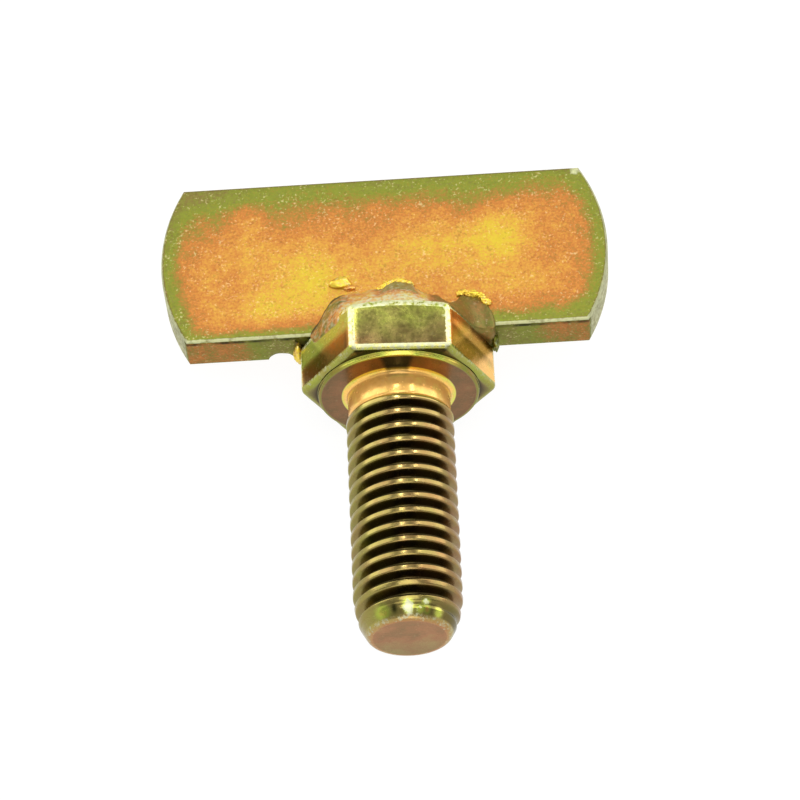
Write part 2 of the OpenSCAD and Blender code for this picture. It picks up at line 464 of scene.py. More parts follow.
def add_tip(skin, sizes, turn):
    """The flat end of the shank and the start of its taper."""
    face_edge = sizes.tip_radius - 0.5 * MM
    taper_start = 0.6 * MM
    for radius in (0.5 * MM, 1.5 * MM, 2.5 * MM, 3.4 * MM, face_edge):
        # The end face gets painted shade, more of it on its lower side
        lower = ease(radius * np.sin(turn) / sizes.tip_radius, -0.3, 0.9)
        finish = {"film": 0.11 + 0.12 * lower, "deep": 0.42 + 0.16 * lower}
        skin.add_ring(radius, turn, -sizes.shank_length, **finish)
    edge = {"film": (0.14, 0.3), "worn": (0.25, 0.46), "deep": (0.3, 0.4)}
    corner = [
        (face_edge, -sizes.shank_length, 0, 0, {}),
        (sizes.tip_radius, -sizes.shank_length, 0.45 * MM, 6, edge),
        (tip_limit(sizes, taper_start), taper_start - sizes.shank_length, 0, 0, tip_gleam(turn, taper_start)),
    ]
    for (radius, height), finish in rounded(corner)[1:]:
        skin.add_ring(radius, turn, height, **finish)
    for from_end in (taper_start + 0.15 * MM, taper_start + 0.3 * MM):
        finish = tip_gleam(turn, from_end)
        skin.add_ring(tip_limit(sizes, from_end), turn, from_end - sizes.shank_length, **finish)


def add_thread(skin, sizes, turn):
    """The right-hand thread: rows that follow the helix, cut off level at the tip and at the neck."""
    first = len(skin.points)
    crest = sizes.pitch / 4 - sizes.crest_place
    turns = math.ceil((crest + sizes.pitch + sizes.shank_length - sizes.tip_plain) / sizes.pitch)
    start = crest - turns * sizes.pitch
    low = sizes.tip_plain - sizes.shank_length
    high = -sizes.neck_length
    per_pitch = len(PITCH_ROWS)
    count = math.ceil((high - start) / sizes.pitch) * per_pitch
    for row in range(count + 1):
        phase = row // per_pitch + PITCH_ROWS[row % per_pitch]
        height = np.clip(start + sizes.pitch * (turn / (2 * math.pi) + phase), low, high)
        from_end = height + sizes.shank_length
        cut = groove(phase)
        fade = ease(high - height, 0, sizes.run_out)
        limit = sizes.neck_radius + (tip_limit(sizes, from_end) - sizes.neck_radius) * ease(fade, 0, 0.6)
        lead_in = ease(from_end, sizes.tip_plain, 2.6 * sizes.tip_plain)
        radius = limit - cut * sizes.depth * fade * lead_in
        # The film is greener on the left side of the shank and pinker on the right
        film = 0.27 - 0.06 * np.cos(turn)
        film = NECK_FILM + (film - NECK_FILM) * ease(fade, 0, 0.8)
        # Painted shade fills the grooves: seen from above, they are dark in the middle and paler on both
        # sides
        beside = ease(np.abs(np.cos(turn)), 0.7, 0.97)
        shadow = 0.5 + (0.42 - 0.3 * beside) * ease(cut, 0.02, 0.25)
        at_tip = 1 - ease(from_end, 1.8 * MM, 2.6 * MM)
        gleam = tip_gleam(turn, from_end)
        seam = min(first + row + per_pitch, first + count)
        skin.add_ring(
            radius, turn, height,
            film=film + (gleam["film"] - film) * at_tip,
            worn=gleam["worn"] * at_tip,
            deep=shadow * fade * lead_in * (1 - at_tip) + gleam["deep"] * at_tip,
            dull=NECK_DULL * (1 - ease(fade, 0, 0.8)),
            seam=seam,
        )


def flat_finish(turn, height):
    """Finish of the hexagon's flats, at a share of their height: browner below and greener above, with
    painted shade that varies over the flats and painted reflections on the flanks.
    """
    heading = np.degrees(turn) % 360
    left = 1 - ease(np.abs(heading - LEFT_FLANK), HALF_FLAT - 6, HALF_FLAT)
    right = 1 - ease(np.abs(heading - RIGHT_FLANK), HALF_FLAT - 6, HALF_FLAT)
    # A painted reflection of the bar's underside, a lens of thick film, runs along the right flank and widens
    # to the rear
    along = np.clip((heading - RIGHT_FLANK + HALF_FLAT) / (2 * HALF_FLAT), 0, 1)
    away = np.abs(height - 0.73 + 0.08 * along) / (0.05 + 0.28 * along * (1.4 - along))
    lens = right * (1 - ease(away, 0.6, 1.1)) * ease(along, 0.1, 0.26) * (1 - ease(along, 0.86, 0.95))
    # The left flank is green along its top, a painted reflection of the bar's green rim, and brown below
    rim_reflection = left * ease(height, 0.4, 0.58)
    film = 0.26 + 0.19 * height
    film = film + left * (0.64 - film) - 0.15 * rim_reflection
    film = film + right * (0.69 - film) + 0.02 * lens
    worn = 0.15 * rim_reflection + 0.1 * lens
    low = 1 - ease(height, 0.2, 0.7)
    deep = 0.48 + 0.2 * (1 - height) + left * (0.1 * low - 0.22 * rim_reflection) - right * (0.8 * low - 0.16)
    # A dark line of painted shade runs down both flanks beside the corners of the front flat
    from_corner = np.abs(heading - FRONT_FLAT) - HALF_FLAT
    line = ease(from_corner, 0, 2) * (1 - ease(from_corner, 4, 14))
    deep = (deep + 0.42 * line * (1 - rim_reflection)) * (1 - lens)
    dull = 0.45 * rim_reflection + 0.3 * lens
    return {"film": film, "worn": worn, "deep": deep, "dull": dull}


def add_head(skin, sizes, turn):
    """Neck, bearing face, washer face and hexagon, up to the middle of the head's top."""
    washer = sizes.across_flats / 2 - sizes.washer_inset
    neck = {"film": NECK_FILM, "dull": NECK_DULL}
    # The bearing face is in painted shade, with a painted dark reflection above the neck that runs on over
    # the fillet
    dark_reflection = 1 - ease(np.abs(np.degrees(turn) - FRONT_FLAT + 3), 10, 15)
    inner = {"film": 0.08, "deep": 0.6 + 0.4 * dark_reflection}
    face = {"film": 0.06, "deep": 0.62 + 0.38 * dark_reflection}
    # The washer rim gets painted shade, less of it on its upper side
    upper = ease(-np.sin(turn), 0.6, 0.95)
    rim = {"film": 0.55, "deep": 0.68 - 0.54 * upper}
    fillet = {"film": (NECK_FILM, 0.55), "deep": (0.3 * dark_reflection, 0.95 * dark_reflection), "dull": (NECK_DULL, 0)}
    round_rows = rounded([
        (sizes.neck_radius, -sizes.neck_length, 0, 0, neck),
        (sizes.neck_radius, -0.7 * sizes.neck_length, 0, 0, neck),
        (sizes.neck_radius, -1.4 * sizes.neck_fillet, 0, 0, neck),
        (sizes.neck_radius, 0, sizes.neck_fillet, 6, fillet),
        (sizes.neck_radius + 1.2 * sizes.neck_fillet, 0, 0, 0, inner),
        (0.35 * sizes.neck_radius + 0.65 * washer, 0, 0, 0, inner),
        (washer - 0.4 * MM, 0, 0, 0, face),
        (washer, 0, 0.22 * MM, 4, rim),
        (washer, sizes.washer_height, 0, 0, rim),
    ])
    for (radius, height), finish in round_rows[1:]:
        skin.add_ring(radius, turn, height, **finish)

    outline, corner = hexagon(sizes.across_flats / 2, sizes.corner_round)
    reach = np.linalg.norm(outline, axis=1)
    outward = outline / reach[:, None]
    crown_radius = sizes.across_flats / 2 - sizes.crown_inset
    crown_edge = sizes.head_height - (reach - crown_radius) * math.tan(sizes.crown_slope)
    low = sizes.washer_height
    crown = {"film": 0.4, "worn": 0.5, "deep": 0.2}
    top = {"film": 0.35}
    # The hexagon's lower edge is painted paler at the front with bare zinc, a painted highlight, and has
    # painted shade along its foot, darkest at the front
    front = 1 - ease(np.abs(np.degrees(turn) - FRONT_FLAT), HALF_FLAT - 4, HALF_FLAT + 4)
    lower_edge = {
        "film": 0.42,
        "worn": (0.2, 0.38 + 0.38 * front),
        "deep": (0.6 + 0.38 * front, 0.35 - 0.3 * front),
    }
    wall_low = low + 1.1 * sizes.edge_round
    wall_rise = crown_edge - wall_low - 1.1 * sizes.crown_round
    wall = []
    wall_steps = 12
    for step in range(wall_steps + 1):
        t = step / wall_steps
        finish = flat_finish(turn, t)
        # The rounded corners are pale, worn zinc with a painted highlight, and get no painted shade
        finish["worn"] = np.maximum(finish["worn"], 0.58 * corner)
        finish["deep"] = finish["deep"] * (1 - corner)
        finish["dull"] = finish["dull"] * (1 - corner)
        wall.append((reach, wall_low + t * wall_rise, 0, 0, finish))
    head_rows = rounded([
        (washer, low, 0, 0, face),
        # Painted shade in the crevice under the hexagon and on its underside, darkest at the front
        (washer + 0.12 * MM, low, 0, 0, {"film": 0.2, "deep": 0.95}),
        (reach - 1.05 * sizes.edge_round, low, 0, 0, {"film": 0.38, "deep": 0.64 + 0.33 * front}),
        (reach, low, sizes.edge_round, 6, lower_edge),
        *wall,
        # The crown edge is pale, worn zinc with a painted highlight
        (reach, crown_edge, sizes.crown_round, 5, {"film": 0.46, "worn": (0.6, 0.66)}),
        (0.5 * reach + 0.5 * crown_radius, 0.5 * (crown_edge + sizes.head_height), 0, 0, crown),
        (crown_radius, sizes.head_height, 0.25 * MM, 3, crown),
        *((part * crown_radius, sizes.head_height, 0, 0, top) for part in (0.8, 0.4, 0.1)),
    ])
    for (radius, height), finish in head_rows[1:]:
        x = radius * outward[:, 0]
        y = radius * outward[:, 1]
        on_side = ease(radius, crown_radius, crown_radius + sizes.crown_inset)
        hollow = sizes.forging * on_side * (0.5 + 0.5 * lumps(x, y, height + 0 * x, 2.4 * MM))
        skin.add(x - hollow * outward[:, 0], y - hollow * outward[:, 1], height, **finish)


def bolt_mesh(settings):
    """The whole bolt as one surface, from its tip to the top of its head."""
    sizes = settings.bolt
    turn = np.arange(COLUMNS) * 2 * math.pi / COLUMNS
    skin = Skin(COLUMNS)
    add_tip(skin, sizes, turn)
    add_thread(skin, sizes, turn)
    add_head(skin, sizes, turn)
    return skin_mesh("hexagon_bolt", [skin], laid_down())


def plate_edge_distance(sizes, x, height):
    """Distance in from the upper edge, the lower edge and the nearer round end of the bar."""
    middle = sizes.length / 2 - sizes.end_radius
    past = np.maximum(np.abs(x) - middle, 0)
    from_end = sizes.end_radius - np.hypot(past, height - sizes.height / 2)
    return sizes.height - height, height, from_end


def plate_film(sizes, x, height):
    """Thickness of the film over the bar's faces: thin along the rims, thick in the middle."""
    top, bottom, end = plate_edge_distance(sizes, x, height)
    wobble = 0.2 * lumps(x, height, 0 * x, 6 * MM, 3)
    low_rim = sizes.rim_low * (1 + x / sizes.length)
    rim = soft_min(top / sizes.rim_top, bottom / low_rim, 0.5)
    rim = soft_min(rim, end / sizes.rim_end, 1.4) + wobble
    film = 0.47 + 0.24 * ease(rim, 0.25, 1.7) + 0.13 * ease(rim, 1.1, 3.4)
    # Patches of thicker and thinner film: place along the bar, height, radius and change
    patches = (
        (-8.3, 6.7, 4.5, 0.14),
        (12.8, 11.7, 4.2, 0.17),
        (-15.0, 16.0, 2.6, 0.12),
        (-13.4, 3.8, 3.2, 0.09),
        (5.5, 11.0, 4.0, 0.07),
        (-10.6, 14.8, 4.0, -0.06),
        (-17.0, 6.6, 4.0, -0.06),
        (19.0, 9.4, 4.5, -0.09),
        (5.0, 5.0, 3.5, -0.05),
        (9.5, 15.5, 2.2, -0.1),
        (-21.0, 16.5, 6.0, -0.12),
        (16.0, 18.0, 5.0, 0.03),
        (-3.0, 13.5, 4.0, -0.05),
        (-20.5, 10.0, 3.5, -0.04),
    )
    for place, up, radius, change in patches:
        away = np.hypot(x - place * MM, height - up * MM) / (radius * MM)
        film = film + change * (1 - ease(away, 0, 1.3))
    return film


def bar_loop(sizes, inset, grid):
    """Points of the bar's outline, inset from its edge, for grid places (along, up) from -1 to 1."""
    along, up = grid
    half_height = sizes.height / 2 - inset
    height = up * half_height
    middle = sizes.length / 2 - sizes.end_radius
    half_width = middle + np.sqrt((sizes.end_radius - inset) ** 2 - height ** 2)
    return along * half_width, height + sizes.height / 2


def plate_mesh(settings):
    """The flat bar on edge: two faces of small squares and a rounded edge between them."""
    sizes = settings.plate
    across, upward = 100, 40
    along, up = np.meshgrid(np.linspace(-1, 1, across + 1), np.linspace(-1, 1, upward + 1), indexing="ij")
    index = np.arange(along.size).reshape(along.shape)
    border = np.concatenate([index[:, 0], index[-1, 1:], index[-2::-1, -1], index[0, -2:0:-1]])
    face_x, face_h = bar_loop(sizes, sizes.edge_round, (along.ravel(), up.ravel()))
    half = sizes.thickness / 2
    points = [np.stack([face_x, 0 * face_x + side * half, face_h], axis=-1) for side in (-1, 1)]
    faces = []
    for offset in (0, along.size):
        corners = (index[:-1, :-1], index[1:, :-1], index[1:, 1:], index[:-1, 1:])
        faces.extend(tuple(int(c) + offset for c in quad) for quad in zip(*(c.ravel() for c in corners)))
    loops = [border]
    edge_grid = (along.ravel()[border], up.ravel()[border])
    bend_steps = 4
    side_steps = 8
    line = 0.3 * MM
    total = 2 * along.size
    bend = [step / bend_steps * math.pi / 2 for step in range(1, bend_steps + 1)]
    rows = [
        (sizes.edge_round * (1 - math.sin(lean)), -half + sizes.edge_round * (1 - math.cos(lean)))
        for lean in bend
    ]
    flat_part = sizes.thickness - 2 * sizes.edge_round
    rows.append((0.0, -half + sizes.edge_round + line))
    rows += [(0.0, -half + sizes.edge_round + flat_part * step / side_steps) for step in range(1, side_steps)]
    rows += [(inset, -depth) for inset, depth in reversed(rows[:bend_steps])]
    for inset, depth in rows:
        x, height = bar_loop(sizes, inset, edge_grid)
        points.append(np.stack([x, 0 * x + depth, height], axis=-1))
        loops.append(np.arange(total, total + len(border)))
        total += len(border)
    loops.append(border + along.size)
    for low, high in zip(loops, loops[1:]):
        for step in range(len(border)):
            beside = (step + 1) % len(border)
            faces.append(tuple(int(v) for v in (low[step], low[beside], high[beside], high[step])))
    mesh = bpy.data.meshes.new("flat_bar")
    mesh.from_pydata(np.concatenate(points).tolist(), [], faces)
    shape = bmesh.new()
    shape.from_mesh(mesh)
    bmesh.ops.recalc_face_normals(shape, faces=shape.faces)
    shape.to_mesh(mesh)
    shape.free()
    return mesh


def cut_bite(piece, settings):
    """Takes the burnt bite out of the lower rear edge of the bar."""
    sizes = settings.plate
    ball = bmesh.new()
    bmesh.ops.create_uvsphere(ball, u_segments=48, v_segments=32, radius=sizes.bite_radius)
    for vert in ball.verts:
        vert.co *= 1 + 0.05 * noise.noise(vert.co / (0.9 * MM))
    cutter_mesh = bpy.data.meshes.new("bite")
    ball.to_mesh(cutter_mesh)
    ball.free()
    cutter_mesh.transform(Matrix.Translation((sizes.bite_place - sizes.shift, sizes.thickness / 2, 0)))
    cutter = bpy.data.objects.new("bite", cutter_mesh)
    bpy.context.scene.collection.objects.link(cutter)
    modifier = piece.modifiers.new("bite", "BOOLEAN")
    modifier.operation = "DIFFERENCE"
    modifier.solver = "EXACT"
    modifier.object = cutter
    bpy.context.view_layer.update()
    shown = piece.evaluated_get(bpy.context.evaluated_depsgraph_get())
    cut = bpy.data.meshes.new_from_object(shown)
    shape = bmesh.new()
    shape.from_mesh(cut)
    bmesh.ops.remove_doubles(shape, verts=shape.verts, dist=0.002 * MM)
    bmesh.ops.dissolve_degenerate(shape, edges=shape.edges, dist=0.002 * MM)
    shape.to_mesh(cut)
    shape.free()
    piece.modifiers.clear()
    bpy.data.objects.remove(cutter)
    return cut


def finish_plate(mesh, settings):
    """Writes the film and the wear of the bar to its points."""
    sizes = settings.plate
    places = np.zeros(len(mesh.vertices) * 3, np.float32)
    mesh.vertices.foreach_get("co", places)
    x, depth, height = places.reshape(-1, 3).astype(float).T
    top, bottom, end = plate_edge_distance(sizes, x, height)
    inset = np.minimum(np.minimum(top, bottom), end)
    on_face = ease(np.abs(depth), sizes.thickness / 2 - sizes.edge_round, sizes.thickness / 2)
    on_side = 1 - ease(inset, 0, sizes.edge_round)
    at_end = on_side * (end < np.minimum(top, bottom))
    on_end = at_end * ease(-end, -0.3 * MM, -0.05 * MM)
    # The long edges are green in the middle and pink towards the ends, with a dark line of painted shade at
    # the front and light painted shade along the lower side
    to_ends = ease(np.abs(x + sizes.shift), 13 * MM, 19 * MM)
    side_film = 0.42 + 0.24 * to_ends + 0.1 * lumps(x, height, depth, 5 * MM, 2)
    side_film = np.where((on_face > 0.02) | (at_end > 0), 0.36, side_film)
    film = np.where(inset > 0.9 * sizes.edge_round, plate_film(sizes, x, height), side_film)
    below = (bottom < 0.01 * MM) * (1 - on_face)
    line_in = 0.15 * MM
    at_line = np.abs(depth + sizes.thickness / 2 - sizes.edge_round - line_in)
    broken = 0.8 + 0.8 * lumps(x, height, depth, 1.2 * MM, 3)
    outline = (top < 0.6 * sizes.edge_round) * (1 - on_face)
    near_head = 1 - ease(np.abs(x + sizes.shift), 10 * MM, 18 * MM)
    deep = below * (1 - ease(at_line, 0.18 * MM, 0.34 * MM)) * (0.85 + 0.15 * near_head)
    deep = np.clip((deep + 0.8 * outline) * broken, 0, 1)
    deep = np.maximum(deep, below * (0.1 + 0.12 * to_ends))
    # The ends are grey, and have a dark outline
    deep = np.maximum(deep, at_end * np.clip(0.75 * broken, 0, 1) * (1 - 0.6 * on_end))
    worn = np.clip(on_face * on_side * (0.75 + 0.4 * broken), 0, 0.95) + 0.6 * on_end
    worn = worn * (1 - 0.8 * (top < sizes.edge_round)) * (1 - 0.4 * (x < -20 * MM) * on_face)
    # The lower edge of the front face is painted pale in bare zinc, a painted highlight
    low_edge = (bottom < 0.8 * sizes.edge_round) * (depth < 0) * (on_face > 0.05) * (1 - at_end)
    worn = np.maximum(worn, low_edge * np.clip(0.3 + 0.55 * broken, 0, 0.95))
    # The upper right corner is worn bare
    corner_x, corner_height = 21.9 * MM, 19.5 * MM
    at_corner = 1 - ease(np.hypot(x - corner_x, height - corner_height), 0.3 * MM, 1.1 * MM)
    worn = np.maximum(worn, 0.7 * at_corner)
    for name, values in (("film", film), ("worn", worn), ("deep", deep)):
        layer = mesh.attributes.get(name) or mesh.attributes.new(name, "FLOAT", "POINT")
        layer.data.foreach_set("value", np.asarray(values, np.float32))


def head_reach(settings, x, side):
    """How far the hexagon reaches from the bar's middle to one side of it, at a place along the bar."""
    apothem = settings.bolt.across_flats / 2
    reach = apothem
    for flat in range(FLATS):
        heading = (flat + 0.5) * 2 * math.pi / FLATS + settings.plate.turn
        if side * math.sin(heading) > 0.01:
            reach = min(reach, (apothem - x * math.cos(heading)) / (side * math.sin(heading)))
    return reach


def bead_finish(place, lean, rough):
    """Finish of the front bead: mottled on the left, with painted shade in its hollows, a dark mound, and a
    right shoulder darkened by painted shade.
    """
    degrees = np.degrees(lean)
    to_left = 1 - ease(place, -6.4 * MM, -4.6 * MM)
    right = ease(place, 3.7 * MM, 5.2 * MM)
    in_middle = ease(place, -2.4 * MM, -1.0 * MM) * (1 - ease(place, 2.1 * MM, 3.2 * MM))
    mound = in_middle * (1 - ease(degrees, 54, 70))
    pale = ease(degrees, 66, 78) * (1 - right) * (1 - to_left)
    film = 0.88 - 0.27 * to_left - 0.28 * right + 0.2 * rough * (1 - 0.7 * right)
    film = film + (0.54 - film) * mound
    worn = 0.42 * (1 - right) + 0.2 * pale
    hollows = np.clip(-rough, 0, 1)
    deep = 0.2 + 0.16 * mound + 0.42 * right + to_left * (0.1 + 0.6 * hollows)
    # A dark line of painted shade runs along the toe, wide enough to be seen over the bulge of the bead
    toe_line = 1 - ease(degrees, 34, 46)
    lined = np.maximum(to_left, ease(place, 2.4 * MM, 3 * MM) * (1 - right))
    return film, worn, np.clip(np.maximum(deep, 0.95 * toe_line * lined), 0, 1)


def bead_skin(settings, toe, side):
    """One fillet bead between the head and a face of the bar, for side -1 in front and 1 behind.

    toe is the bead's line on the bar: places along the bar and heights, in millimetres.
    From there each section bends over to the bead's foot on the head, like a quarter of an ellipse.
    """
    sizes = settings.weld
    face = settings.plate.thickness / 2
    places, heights = np.array(toe).T * MM
    left, right = places[0], places[-1]
    crown = settings.bolt.across_flats / 2 - 0.4 * MM
    leg = sizes.front_leg if side < 0 else sizes.rear_leg
    end_round = 0.7 * MM
    thin = 0.6 * MM
    # The bead stays inside this circle at the hexagon's corners
    corner_circle = 10.4 * MM
    around = 40
    along = 200
    lean = np.linspace(0, math.pi / 2, around)
    skin = Skin(around + 4)
    for step in range(along + 1):
        x = left + (right - left) * (0.5 - 0.5 * math.cos(math.pi * step / along))
        from_end = min(x - left, right - x, end_round)
        end = math.sqrt(max(0, from_end * (2 * end_round - from_end))) / end_round
        reach = head_reach(settings, x, side)
        on_left = float(ease(-x, 4.8 * MM, 6.2 * MM)) if side < 0 else 0.0
        on_right = float(ease(x, 4.8 * MM, 6.2 * MM)) if side < 0 else 0.0
        edge = math.sqrt(max(crown ** 2 - x ** 2, 0))
        edge = edge + (reach + sizes.overflow - edge) * max(on_left, on_right)
        # The bead stays behind the plane of the head's flat on its side
        plane = settings.bolt.across_flats / 2 + side * x * math.sin(settings.plate.turn)
        edge = min(edge, plane / math.cos(settings.plate.turn) - 0.12 * MM)
        edge = min(edge, math.sqrt(max(corner_circle ** 2 - x ** 2, 0)) + 2 * sizes.overflow * on_right)
        ripple = sizes.ripple_depth * math.cos(2 * math.pi * x / sizes.ripple)
        out = -soft_min(-min(edge - face, leg), -thin, 2.2 * MM * on_right + 0.1 * MM) * end
        drop = (0.06 * MM + sizes.drip * on_left + sizes.shoulder * on_right) * end
        up = (np.interp(x, places, heights) + ripple) * end + drop
        full = 1.35 + 0.3 * on_left - 0.25 * on_right * (1 - float(ease(x, 7 * MM, 9 * MM)))
        depth = out * np.sin(lean) ** (2 / full)
        height = up * np.cos(lean) ** (2 / full) - drop
        rough = lumps(x, depth, height, 1.1 * MM, 4)
        wander = x + 0.9 * MM * lumps(x, depth, height, 2.2 * MM, 3)
        # The crust is roughest along the bar and smooth where the bead meets the head
        crusty = 0.12 + 0.88 * (1 - ease(lean, math.radians(8), math.radians(40 - 16 * on_right)))
        swell = end * (sizes.crust * crusty * rough + 0.5 * ripple)
        depth = depth + swell * np.sin(lean)
        height = height + swell * np.cos(lean)
        # The foot turns in to the head, or past the head goes back under the bar to the flank
        tuck = min(reach - face, depth[-1]) - 0.45 * MM * end
        sunk = -sizes.sink * end
        turn_in = [0.5 * (tuck + depth[-1]) + 0.1 * MM * end, tuck, sunk]
        turn_down = [height[-1] - 0.15 * MM * end, height[-1] - 0.3 * MM * end, sunk]
        depth = np.concatenate([[sunk], depth, turn_in])
        height = np.concatenate([[height[0]], height, turn_down])
        film, worn, deep = (np.pad(part, (1, 3), mode="edge") for part in bead_finish(wander, lean, rough))
        skin.add(x, side * (face + depth), height, film=film, worn=worn, deep=deep, dull=0.3)
    return skin


def lump_skin(middle, radii, crust, film=0.96, dark=0.0):
    """A rough lump of weld metal, with its middle and its radii in millimetres in the frame of the bar."""
    around = 24
    turn = np.arange(around) * 2 * math.pi / around
    skin = Skin(around)
    centre = np.reshape(middle, (3, 1))
    reach = np.reshape(radii, (3, 1))
    for lean in np.radians(np.linspace(2, 178, 16)):
        across = math.sin(lean)
        unit = np.stack([across * np.cos(turn), across * np.sin(turn), 0 * turn + math.cos(lean)])
        rough = lumps(*(unit + centre), 0.7, 3)
        place = centre * MM + unit * reach * MM * (1 + crust * rough)
        # Painted shade darkens the hollows of the lump's rough surface
        skin.add(*place, film=film + 0.1 * rough, worn=0.34, deep=np.clip(dark - 0.4 * rough, 0, 0.8))
    return skin


def crust_skins(line, face):
    """A row of small bright lumps along a line on the bar: places along it and heights, in millimetres."""
    places, heights = np.array(line).T
    spacing = 0.3
    noise.seed_set(CRUST_SEED)
    skins = []
    for step in range(int((places[-1] - places[0]) / spacing)):
        x = places[0] + step * spacing
        wander = noise.noise_vector(Vector((2 * x, 1.7, 0.3)))
        size = 0.36 + 0.2 * wander.x
        height = float(np.interp(x, places, heights)) + 0.4 * wander.z
        middle = (x + 0.2 * wander.y, -face - 0.05, height)
        skins.append(lump_skin(middle, (1.3 * size, 0.9 * size, size), 0.35))
    return skins


class Sketch:
    """Short calls that add nodes to a tree and join them."""

    def __init__(self, tree):
        self.tree = tree

    def node(self, kind, inputs=(), **settings):
        """Adds a node. Each input is a value or the socket that feeds it."""
        made = self.tree.nodes.new(kind)
        for name, value in settings.items():
            setattr(made, name, value)
        for key, value in dict(inputs).items():
            socket = made.inputs[key]
            if isinstance(value, bpy.types.NodeSocket):
                self.tree.links.new(value, socket)
            else:
                socket.default_value = value
        return made

    def math(self, operation, first, second=0.0, clamp=False):
        """The result of one sum on values."""
        made = self.node("ShaderNodeMath", {0: first, 1: second}, operation=operation, use_clamp=clamp)
        return made.outputs[0]

    def span(self, value, low, high, start=0.0, end=1.0):
        """A value taken smoothly from start at low to end at high."""
        made = self.node(
            "ShaderNodeMapRange",
            {"Value": value, "From Min": low, "From Max": high, "To Min": start, "To Max": end},
            interpolation_type="SMOOTHSTEP",
        )
        return made.outputs["Result"]

    def mix(self, factor, first, second):
        """Two colours mixed by a factor."""
        inputs = {0: factor, 6: first, 7: second}
        return self.node("ShaderNodeMix", inputs, data_type="RGBA", clamp_factor=True).outputs[2]

    def group(self, tree, inputs):
        """The outputs of a node group."""
        return self.node("ShaderNodeGroup", inputs, node_tree=tree).outputs

    def noise(self, scale, detail, stretch=None):
        """Fractal noise in the piece's own coordinates, stretched along X if asked."""
        where = self.node("ShaderNodeTexCoord").outputs["Object"]
        if stretch:
            where = self.node("ShaderNodeMapping", {"Vector": where, "Scale": (1 / stretch, 1, 1)}).outputs[0]
        made = self.node("ShaderNodeTexNoise", {"Vector": where, "Scale": scale, "Detail": detail})
        return made.outputs["Fac"]

    def attribute(self, name):
        """A value written to the piece's points."""
        return self.node("ShaderNodeAttribute", attribute_name=name).outputs["Fac"]


def new_group(name, inputs, outputs):
    """A shader node group with named sockets: its sketch, its inputs and its output node."""
    group = bpy.data.node_groups.new(name, "ShaderNodeTree")
    for socket, value in inputs.items():
        made = group.interface.new_socket(socket, in_out="INPUT", socket_type="NodeSocketFloat")
        made.default_value = value
    for socket, kind in outputs.items():
        group.interface.new_socket(socket, in_out="OUTPUT", socket_type=kind)
    sketch = Sketch(group)
    return sketch, sketch.node("NodeGroupInput").outputs, sketch.node("NodeGroupOutput").inputs


def film_group(zinc):
    """Colour of the film by its thickness, with cloudy changes of thickness."""
    name = "Plating film"
    if name in bpy.data.node_groups:
        return bpy.data.node_groups[name]
    sketch, given, out = new_group(
        name,
        {"Film": 0.4, "Cloud scale": 400.0, "Cloud amount": 0.1, "Grain amount": 0.05, "Gain": 1.0},
        {"Color": "NodeSocketColor"},
    )
    cloud = sketch.math("SUBTRACT", sketch.noise(given["Cloud scale"], 3.0), 0.5)
    grain = sketch.math("SUBTRACT", sketch.noise(FILM_GRAIN_SCALE, 2.0), 0.5)
    film = sketch.math("ADD", given["Film"], sketch.math("MULTIPLY", cloud, given["Cloud amount"]))
    film = sketch.math("ADD", film, sketch.math("MULTIPLY", grain, given["Grain amount"]))
    ramp = sketch.node("ShaderNodeValToRGB", {"Fac": film})
    stops = (
        (0.0, zinc.brown), (0.12, zinc.pink), (0.25, zinc.tan), (0.38, zinc.olive), (0.5, zinc.green),
        (0.61, zinc.amber), (0.73, zinc.orange), (0.86, zinc.gold), (1.0, zinc.yellow),
    )
    elements = ramp.color_ramp.elements
    while len(elements) < len(stops):
        elements.new(0.5)
    for element, (place, _) in zip(elements, stops):
        element.position = place
    for element, (_, shade) in zip(elements, stops):
        element.color = (*shade, 1)
    gained = {0: ramp.outputs["Color"], "Scale": given["Gain"]}
    bright = sketch.node("ShaderNodeVectorMath", gained, operation="SCALE")
    bright = sketch.node("ShaderNodeVectorMath", {0: bright.outputs[0], 1: (1, 1, 1)}, operation="MINIMUM")
    sketch.tree.links.new(bright.outputs[0], out["Color"])
    return sketch.tree


def grain_group():
    """Fine grain of the metal: pale specks, dark pits, streaks along the bar and a height for the bump."""
    name = "Metal grain"
    if name in bpy.data.node_groups:
        return bpy.data.node_groups[name]
    outputs = {key: "NodeSocketFloat" for key in ("Specks", "Pits", "Streaks", "Height")}
    sketch, given, out = new_group(name, {"Scale": 5000.0}, outputs)
    fine = sketch.noise(given["Scale"], 2.0)
    coarse = sketch.noise(sketch.math("MULTIPLY", given["Scale"], 0.22), 2.0)
    specks = sketch.span(sketch.math("ADD", fine, sketch.math("MULTIPLY", coarse, 0.4)), 0.8, 0.98)
    pits = sketch.span(sketch.math("SUBTRACT", fine, sketch.math("MULTIPLY", coarse, 0.4)), 0.22, 0.1)
    streaks = sketch.noise(sketch.math("MULTIPLY", given["Scale"], 1.2), 2.0, stretch=5.0)
    made = {"Specks": specks, "Pits": pits, "Streaks": streaks, "Height": sketch.math("ADD", fine, coarse)}
    for key, socket in made.items():
        sketch.tree.links.new(socket, out[key])
    return sketch.tree


def wear_group():
    """Mask of the bare zinc on worn edges and on painted highlights, broken up by noise."""
    name = "Edge wear"
    if name in bpy.data.node_groups:
        return bpy.data.node_groups[name]
    sketch, given, out = new_group(
        name, {"Worn": 0.0, "Amount": 1.0, "Ragged": 1.0}, {"Mask": "NodeSocketFloat"}
    )
    ragged = sketch.math("SUBTRACT", sketch.noise(WEAR_SCALE, 4.0), 0.5)
    ragged = sketch.math("MULTIPLY", ragged, given["Ragged"])
    patchy = sketch.span(sketch.math("ADD", given["Worn"], ragged), 0.32, 0.78)
    mask = sketch.math("MULTIPLY", patchy, given["Amount"], clamp=True)
    sketch.tree.links.new(mask, out["Mask"])
    return sketch.tree


